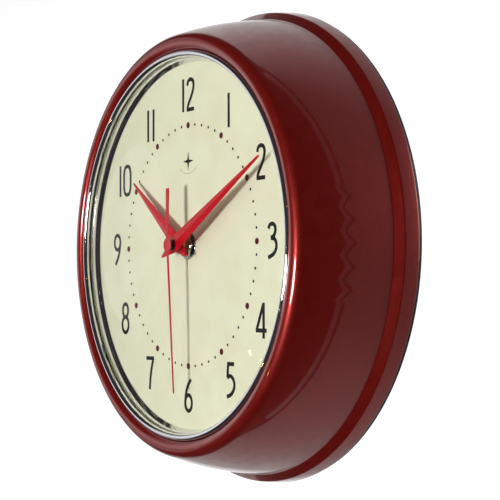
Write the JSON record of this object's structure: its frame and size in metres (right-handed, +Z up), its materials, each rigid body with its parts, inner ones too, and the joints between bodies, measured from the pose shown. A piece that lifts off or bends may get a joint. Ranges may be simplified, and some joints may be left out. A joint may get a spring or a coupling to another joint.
{
  "type": "wall clock",
  "caption": "Round retro wall clock: red bell-shaped metal case, chrome bezel, domed glass, cream dial with numerals, and hands driven by a quartz movement's gear train.",
  "frame": {"origin": "centre of the circle in which the case meets the wall", "axes": "+Y into the wall along the clock's axis, the dial faces -Y, +Z up, +X to the right of a viewer"},
  "size_m": [0.2408, 0.071, 0.2408],
  "materials": {
    "red_enamel": "high gloss",
    "chrome": "polished",
    "lens_glass": "clear polished",
    "white_silicone": "satin",
    "black_rubber": "matt",
    "cream_dial": "satin print on aluminium",
    "black_plastic": "fine spark texture",
    "zinc_steel": "zinc plated",
    "movement_plastic": "moulded",
    "brass": "turned",
    "nickel": "nickel plated",
    "white_plastic": "moulded acetal",
    "steel": "ground",
    "red_hands": "satin lacquer",
    "black_lacquer": "gloss",
    "copper_wire": "enamelled winding",
    "bobbin_plastic": "moulded",
    "circuit_green": "solder mask",
    "black_epoxy": "cast drop",
    "contact_plating": "nickel-plated spring steel",
    "cell_jacket": "shrink sleeve"
  },
  "bodies": {
    "root": {"case_shell": "red_enamel", "front_bezel": "chrome", "reflector_ring": "chrome", "lens": "lens_glass", "lens_gasket": "white_silicone", "rubber_washer": "black_rubber", "dial_plate": "cream_dial", "dial_carrier": "black_plastic", "rear_cover": "black_plastic", "cover_screws": "zinc_steel", "hanger_plate": "zinc_steel", "hanger_rivets": "zinc_steel", "movement_base": "movement_plastic", "movement_cover": "movement_plastic", "threaded_bush": "brass", "dial_washer": "nickel", "hex_nut": "nickel", "stator": "steel", "coil_winding": "copper_wire", "coil_bobbin": "bobbin_plastic", "circuit_board": "circuit_green", "driver_chip": "black_epoxy", "quartz_crystal": "contact_plating", "battery_contact_positive": "contact_plating", "battery_contact_negative": "contact_plating", "battery_cell": "cell_jacket"},
    "second_hand_body": {"second_hand": "red_hands", "second_tube": "brass", "second_arbor": "steel", "second_wheel": "white_plastic"},
    "minute_hand_body": {"minute_hand": "red_hands", "minute_cap": "black_lacquer", "cannon_pinion": "steel", "centre_wheel": "brass"},
    "hour_hand_body": {"hour_hand": "red_hands", "hour_wheel": "white_plastic"},
    "rotor_body": {"rotor_pinion": "white_plastic", "rotor_magnet": "steel"},
    "intermediate_body": {"intermediate_wheel": "white_plastic"},
    "third_body": {"third_wheel": "white_plastic"},
    "minute_work_body": {"minute_work_wheel": "white_plastic"},
    "setting_body": {"setting_stem": "white_plastic", "setting_knob": "movement_plastic"}
  },
  "joints": [
    {"name": "second_hand_turn", "type": "hinge", "parent": "root", "child": "second_hand_body", "pos_m": [0, -0.058, 0], "axis": [0, 1, 0], "continuous": true},
    {"name": "minute_hand_turn", "type": "hinge", "parent": "root", "child": "minute_hand_body", "pos_m": [0, -0.055, 0], "axis": [0, 1, 0], "continuous": true},
    {"name": "hour_hand_turn", "type": "hinge", "parent": "root", "child": "hour_hand_body", "pos_m": [0, -0.053, 0], "axis": [0, 1, 0], "continuous": true},
    {"name": "rotor_turn", "type": "hinge", "parent": "root", "child": "rotor_body", "pos_m": [0.01251, -0.038, 0.01208], "axis": [0, 1, 0], "continuous": true},
    {"name": "intermediate_turn", "type": "hinge", "parent": "root", "child": "intermediate_body", "pos_m": [0.00831, -0.038, 0.0048], "axis": [0, 1, 0], "continuous": true},
    {"name": "third_turn", "type": "hinge", "parent": "root", "child": "third_body", "pos_m": [-0.00779, -0.04, 0.0045], "axis": [0, 1, 0], "continuous": true},
    {"name": "minute_work_turn", "type": "hinge", "parent": "root", "child": "minute_work_body", "pos_m": [0, -0.0435, 0.008], "axis": [0, 1, 0], "continuous": true},
    {"name": "setting_turn", "type": "hinge", "parent": "root", "child": "setting_body", "pos_m": [0, -0.03, 0.016], "axis": [0, 1, 0], "continuous": true}
  ],
  "couplings": [
    {"joint": "intermediate_turn", "follows": "second_hand_turn", "ratio": -5},
    {"joint": "rotor_turn", "follows": "second_hand_turn", "ratio": 30},
    {"joint": "third_turn", "follows": "second_hand_turn", "ratio": -0.13333},
    {"joint": "minute_hand_turn", "follows": "second_hand_turn", "ratio": 0.016667},
    {"joint": "minute_work_turn", "follows": "second_hand_turn", "ratio": -0.0055556},
    {"joint": "hour_hand_turn", "follows": "second_hand_turn", "ratio": 0.0013889},
    {"joint": "setting_turn", "follows": "second_hand_turn", "ratio": 0.016667}
  ]
}
